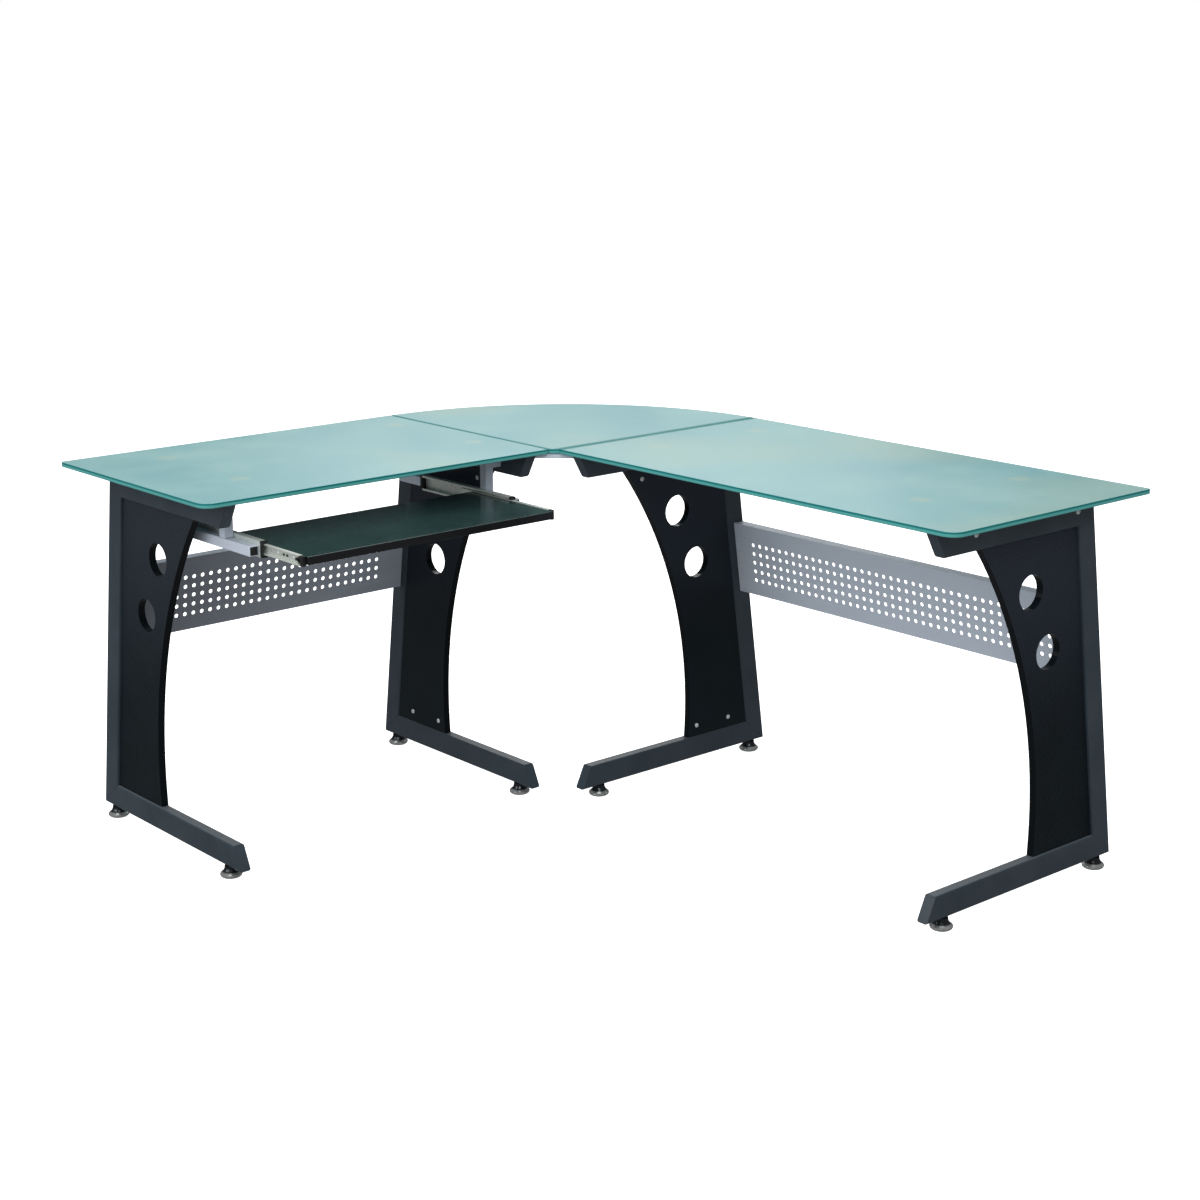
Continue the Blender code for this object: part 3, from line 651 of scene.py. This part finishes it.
def add_tube_plugs():
    """A black plug in each end of both square tubes, with a raised middle."""
    for side in ("left", "right"):
        low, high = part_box(f"tray_tube_{side}")
        for end, y, way in (("front", low.y, -1), ("rear", high.y, 1)):
            corners = []
            for inset, depth in ((PLUG_INSET, PLUG_THICK), (PLUG_MIDDLE_INSET, PLUG_MIDDLE_THICK)):
                ys = sorted((y - way * SINK, y + way * depth))
                corners.append((
                    (low.x + inset, ys[0], low.z + inset), (high.x - inset, ys[1], high.z - inset),
                ))
            mesh = blocks(f"tube_plug_{side}_{end}", corners)
            add_piece(mesh.name, mesh, SLOT_PAINTS["black_plastic"], "desk_frame", soft=PLUG_SOFT)


def add_bumpers():
    """A black U round the member at the front of each channel, and a solid stop behind it."""
    for side in ("left", "right"):
        low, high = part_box(f"slide_channel_{side}")
        member_low, member_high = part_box(f"tray_member_{side}")
        front = (low.y - BUMPER_LENGTH, low.y - BUMPER_GAP)
        gap_low, gap_high = member_low.z - BUMPER_CLEAR, member_high.z + BUMPER_CLEAR
        behind = member_low.x - low.x if side == "left" else high.x - member_high.x
        x0, x1 = across(side, 0.0, high.x - low.x)
        w0, w1 = across(side, 0.0, abs(behind) - BUMPER_CLEAR)
        mesh = blocks(f"front_bumper_{side}", (
            ((x0, front[0], gap_high), (x1, front[1], high.z)),
            ((x0, front[0], low.z), (x1, front[1], gap_low)),
            ((w0, front[0], gap_low - BUMPER_OVERLAP), (w1, front[1], gap_high + BUMPER_OVERLAP)),
        ))
        add_piece(mesh.name, mesh, SLOT_PAINTS["black_plastic"], "desk_frame", soft=BUMPER_SOFT)
        rear = (high.y + BUMPER_GAP, high.y + BUMPER_LENGTH)
        mesh = blocks(f"rear_stop_{side}", (
            ((x0, rear[0], low.z), (x1, rear[1], high.z)),
            ((w0, rear[0], low.z - STOP_LIP), (w1, rear[1] + STOP_BACK, high.z + STOP_LIP)),
        ))
        add_piece(mesh.name, mesh, SLOT_PAINTS["black_plastic"], "desk_frame", soft=BUMPER_SOFT)


def add_balls():
    """Two rows of steel balls in each ball cage."""
    for side in ("left", "right"):
        low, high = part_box(f"ball_cage_{side}")
        middle = (low.z + high.z) / 2
        x = across(side, BALL_FROM_WEB, BALL_FROM_WEB)[0]
        count = int((high.y - low.y - CAGE_BORDERS) / BALL_PITCH)
        shape = bmesh.new()
        for row in (-1, 1):
            for index in range(count + 1):
                y = low.y + FIRST_BALL + index * BALL_PITCH
                place = Matrix.Translation((x, y, middle + row * BALL_Z))
                bmesh.ops.create_icosphere(shape, subdivisions=2, radius=BALL_RADIUS, matrix=place)
        mesh = mesh_of(f"steel_balls_{side}", shape)
        add_piece(mesh.name, mesh, SLOT_PAINTS["chrome"], f"cage_{side}")


def add_member_details():
    """Screws, dark blocks of painted shade where its slots are, and a release lever on the web of each
    tray member.
    """
    screw = pan_head("member_screw", WEB_SCREW_RADIUS, WEB_SCREW_HEIGHT)
    for side in ("left", "right"):
        low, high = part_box(f"tray_member_{side}")
        middle = (low.z + high.z) / 2
        out = -side_of(side)
        face = (high.x - WEB_WALL) if side == "left" else (low.x + WEB_WALL)
        for index, along in enumerate(WEB_SCREWS):
            point = (face, low.y + along, middle)
            place = facing((out, 0, 0), point, WEB_SCREW_TURN + index)
            add_piece(f"member_screw_{side}_{index}", screw.copy(), steel_paint, "keyboard_tray", place)
        # Painted shade: dark blocks stand for the shade inside the slots
        x0, x1 = sorted((face - out * SINK, face + out * SLOT_RISE))
        corners = []
        for along in WEB_SLOTS:
            y = low.y + along
            corners.append((
                (x0, y - SLOT_HALF_LENGTH, middle - SLOT_HALF_HEIGHT),
                (x1, y + SLOT_HALF_LENGTH, middle + SLOT_HALF_HEIGHT),
            ))
        mesh = blocks(f"member_slot_shade_{side}", corners)
        add_piece(mesh.name, mesh, SLOT_PAINTS["black_plastic"], "keyboard_tray", soft=SLOT_SOFT)
        x0, x1 = sorted((face - out * SINK, face + out * LEVER_RISE))
        y = low.y + LEVER_START
        mesh = blocks(f"release_lever_{side}", (
            ((x0, y, middle - LEVER_HEAD_HALF), (x1, y + LEVER_HEAD_LENGTH, middle + LEVER_HEAD_HALF)),
            ((x0, y, middle - LEVER_ARM_BELOW), (x1, y + LEVER_LENGTH, middle + LEVER_ARM_ABOVE)),
        ))
        add_piece(mesh.name, mesh, SLOT_PAINTS["black_plastic"], "keyboard_tray", soft=LEVER_SOFT)


def add_floor():
    """A plain pale floor whose glow doesn't light the desk."""
    bpy.ops.mesh.primitive_plane_add(size=FLOOR_SIZE, location=(0, 0, -FLOOR_DROP))
    floor = bpy.context.object
    floor.name = "floor"
    floor.visible_diffuse = False
    floor.visible_glossy = False
    shader = Shader("pale_floor")
    tone = shader.span(shader.noise(0.6), 0.3, 0.7, 0.0, 1.0)
    shader.paint(shader.mix(tone, FLOOR_TONE, FLOOR_PALE))
    shader.fixed(Roughness=0.9, Emission_Color=WHITE, Emission_Strength=FLOOR_GLOW)
    floor.data.materials.append(shader.material)


def add_light(name, place, target, size, power):
    """A soft rectangular light that looks at a target and is not seen itself."""
    data = bpy.data.lights.new(name, "AREA")
    data.shape = "RECTANGLE"
    data.size, data.size_y = size
    data.energy = power
    obj = bpy.data.objects.new(name, data)
    bpy.context.scene.collection.objects.link(obj)
    look = (Vector(target) - Vector(place)).to_track_quat("-Z", "Y")
    obj.matrix_world = Matrix.Translation(place) @ look.to_matrix().to_4x4()
    obj.visible_camera = False


def add_world():
    """White behind the object, soft grey for what lights it and darker grey for reflections."""
    world = bpy.data.worlds.new("studio")
    bpy.context.scene.world = world
    world.use_nodes = True
    tree = world.node_tree
    background = tree.nodes["Background"]
    path = tree.nodes.new("ShaderNodeLightPath")
    strength = WORLD_REFLECTED
    for ray, level in (("Is Camera Ray", WORLD_CAMERA), ("Is Diffuse Ray", WORLD_DIFFUSE)):
        step = tree.nodes.new("ShaderNodeMath")
        step.operation = "MULTIPLY"
        step.inputs[1].default_value = level
        tree.links.new(path.outputs[ray], step.inputs[0])
        brighter = tree.nodes.new("ShaderNodeMath")
        brighter.operation = "MAXIMUM"
        tree.links.new(step.outputs["Value"], brighter.inputs[0])
        if isinstance(strength, float):
            brighter.inputs[1].default_value = strength
        else:
            tree.links.new(strength, brighter.inputs[1])
        strength = brighter.outputs["Value"]
    tree.links.new(strength, background.inputs["Strength"])
    background.inputs["Color"].default_value = WHITE


def add_camera():
    data = bpy.data.cameras.new("camera")
    data.lens = CAMERA_LENS
    data.sensor_width = CAMERA_SENSOR
    data.shift_y = CAMERA_SHIFT_Y
    data.clip_start, data.clip_end = CAMERA_CLIP
    obj = bpy.data.objects.new("camera", data)
    bpy.context.scene.collection.objects.link(obj)
    turn = Matrix.Rotation(math.radians(CAMERA_YAW), 4, "Z")
    tilt = Matrix.Rotation(math.radians(90 - CAMERA_PITCH), 4, "X")
    roll = Matrix.Rotation(math.radians(CAMERA_ROLL), 4, "Z")
    obj.matrix_world = Matrix.Translation(CAMERA_PLACE) @ turn @ tilt @ roll
    bpy.context.scene.camera = obj


paint_cad()
add_screws()
add_tube_plugs()
add_bumpers()
add_balls()
add_member_details()
add_floor()
add_world()
for light in LIGHTS:
    add_light(*light)
add_camera()
